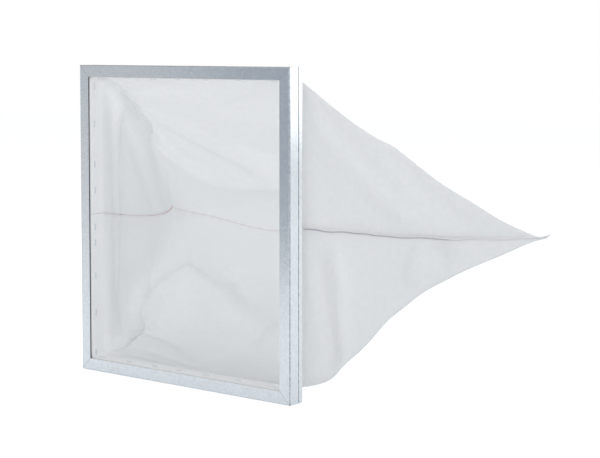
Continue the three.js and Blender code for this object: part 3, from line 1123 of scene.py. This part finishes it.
def makeFloor():
    deselectAll()
    bpy.ops.mesh.primitive_plane_add(size=stageSet["floorSize"], location=(0, 0, -stageSet["floorDrop"]))
    floor = bpy.context.object
    floor.name = "floor"
    bakePlace(floor)
    material = newMaterial("paleFloor")
    ray = addNode(material, "ShaderNodeLightPath")
    matt = addNode(material, "ShaderNodeBsdfDiffuse", {"Color": srgb(stageSet["floorColour"])})
    glow = addNode(material, "ShaderNodeEmission", {
        "Color": stageSet["white"], "Strength": stageSet["floorGlow"]})
    both = addNode(material, "ShaderNodeAddShader", {0: matt.outputs[0], 1: glow.outputs[0]})
    seen = combine(material, "MAXIMUM", ray.outputs["Is Camera Ray"], ray.outputs["Is Glossy Ray"])
    toSurface(material, mixShaders(material, seen, matt, both))
    floor.data.materials.append(material)


def makeWorld():
    # white behind the object, and a softer light on it and in the metal
    world = bpy.data.worlds.new("studio")
    scene.world = world
    world.use_nodes = True
    world.node_tree.nodes.clear()
    ray = addNode(world, "ShaderNodeLightPath")
    strength = addNode(world, "ShaderNodeMapRange", {
        "Value": ray.outputs["Is Glossy Ray"],
        "To Min": stageSet["ambient"],
        "To Max": stageSet["mirrored"],
    })
    light = addNode(world, "ShaderNodeBackground", {
        "Color": stageSet["skyTint"], "Strength": strength.outputs[0]})
    seen = addNode(world, "ShaderNodeBackground", {"Color": stageSet["white"]})
    mix = mixShaders(world, ray.outputs["Is Camera Ray"], light, seen)
    addNode(world, "ShaderNodeOutputWorld", {"Surface": mix.outputs[0]})


# the grey card, whose reflection darkens the right half of the header
card = {
    "width": 1.3,
    "height": 0.86,
    "place": (-0.45, -0.81, 0.44),
    "darkestAt": (-0.41, -0.81, 0.30),
    "reach": (0.37, 1.0, 0.46),        # from there to where it has faded out
    "fullAbove": 0.6,          # the fade is 1 where it is darkest and 0 at its reach; above this it is full
    "colour": "#cad1d9",
}


def makeCard():
    deselectAll()
    bpy.ops.mesh.primitive_plane_add(size=1)
    paper = bpy.context.object
    paper.name = "greyCard"
    paper.scale = (card["width"], card["height"], 1)
    paper.rotation_euler = (math.radians(90), 0, 0)
    paper.location = card["place"]
    bakePlace(paper)
    material = newMaterial("greyCardPaper")
    around = addNode(material, "ShaderNodeMapping", {
        "Vector": objectPlace(material),
        "Location": card["darkestAt"],
        "Scale": card["reach"],
    }, vector_type="TEXTURE")
    ball = addNode(material, "ShaderNodeTexGradient", {
        "Vector": around.outputs["Vector"]}, gradient_type="SPHERICAL")
    cover = addNode(material, "ShaderNodeMapRange", {
        "Value": ball.outputs["Fac"], "From Max": card["fullAbove"]}, interpolation_type="SMOOTHSTEP")
    clear = addNode(material, "ShaderNodeBsdfTransparent")
    grey = addNode(material, "ShaderNodeEmission", {"Color": srgb(card["colour"]), "Strength": 1.0})
    toSurface(material, mixShaders(material, cover.outputs[0], clear, grey))
    paper.data.materials.append(material)
    # it only shows in the metal
    paper.visible_camera = False
    paper.visible_diffuse = False
    paper.visible_shadow = False
    paper.visible_transmission = False


lamps = {
    "topLamp": {"place": (-0.2, 0.4, 1.9), "aim": (0, 0.15, 0.2), "power": 12.0, "size": (1.6, 1.4)},
    "frontLamp": {"place": (1.1, -2.0, 0.8), "aim": (-0.1, 0.1, 0.2), "power": 16.5, "size": (1.2, 1.0)},
    "sideLamp": {"place": (1.5, 1.85, 0.75), "aim": (0.1, 0.1, 0.25), "power": 8.0, "size": (1.1, 1.1)},
    "leftLamp": {"place": (-1.7, 0.1, 0.6), "aim": (-0.1, 0.1, 0.2), "power": 2.0, "size": (1.0, 1.0)},
}


def makeLamp(name, place, aim, power, size):
    data = bpy.data.lights.new(name, "AREA")
    data.energy = power
    data.shape = "RECTANGLE"
    data.size = size[0]
    data.size_y = size[1]
    lamp = bpy.data.objects.new(name, data)
    scene.collection.objects.link(lamp)
    lamp.location = place
    lamp.rotation_mode = "QUATERNION"
    lamp.rotation_quaternion = (Vector(aim) - Vector(place)).to_track_quat("-Z", "Y")
    lamp.visible_camera = False


# light goes through the cloth and round inside the bag many times
bounces = {
    "all": 24,
    "diffuse": 12,
    "through": 16,
}

makeFloor()
makeWorld()
makeCard()
for name, lamp in lamps.items():
    makeLamp(name, **lamp)
scene.view_settings.view_transform = "Standard"
scene.cycles.max_bounces = bounces["all"]
scene.cycles.diffuse_bounces = bounces["diffuse"]
scene.cycles.transmission_bounces = bounces["through"]
print("stage set")
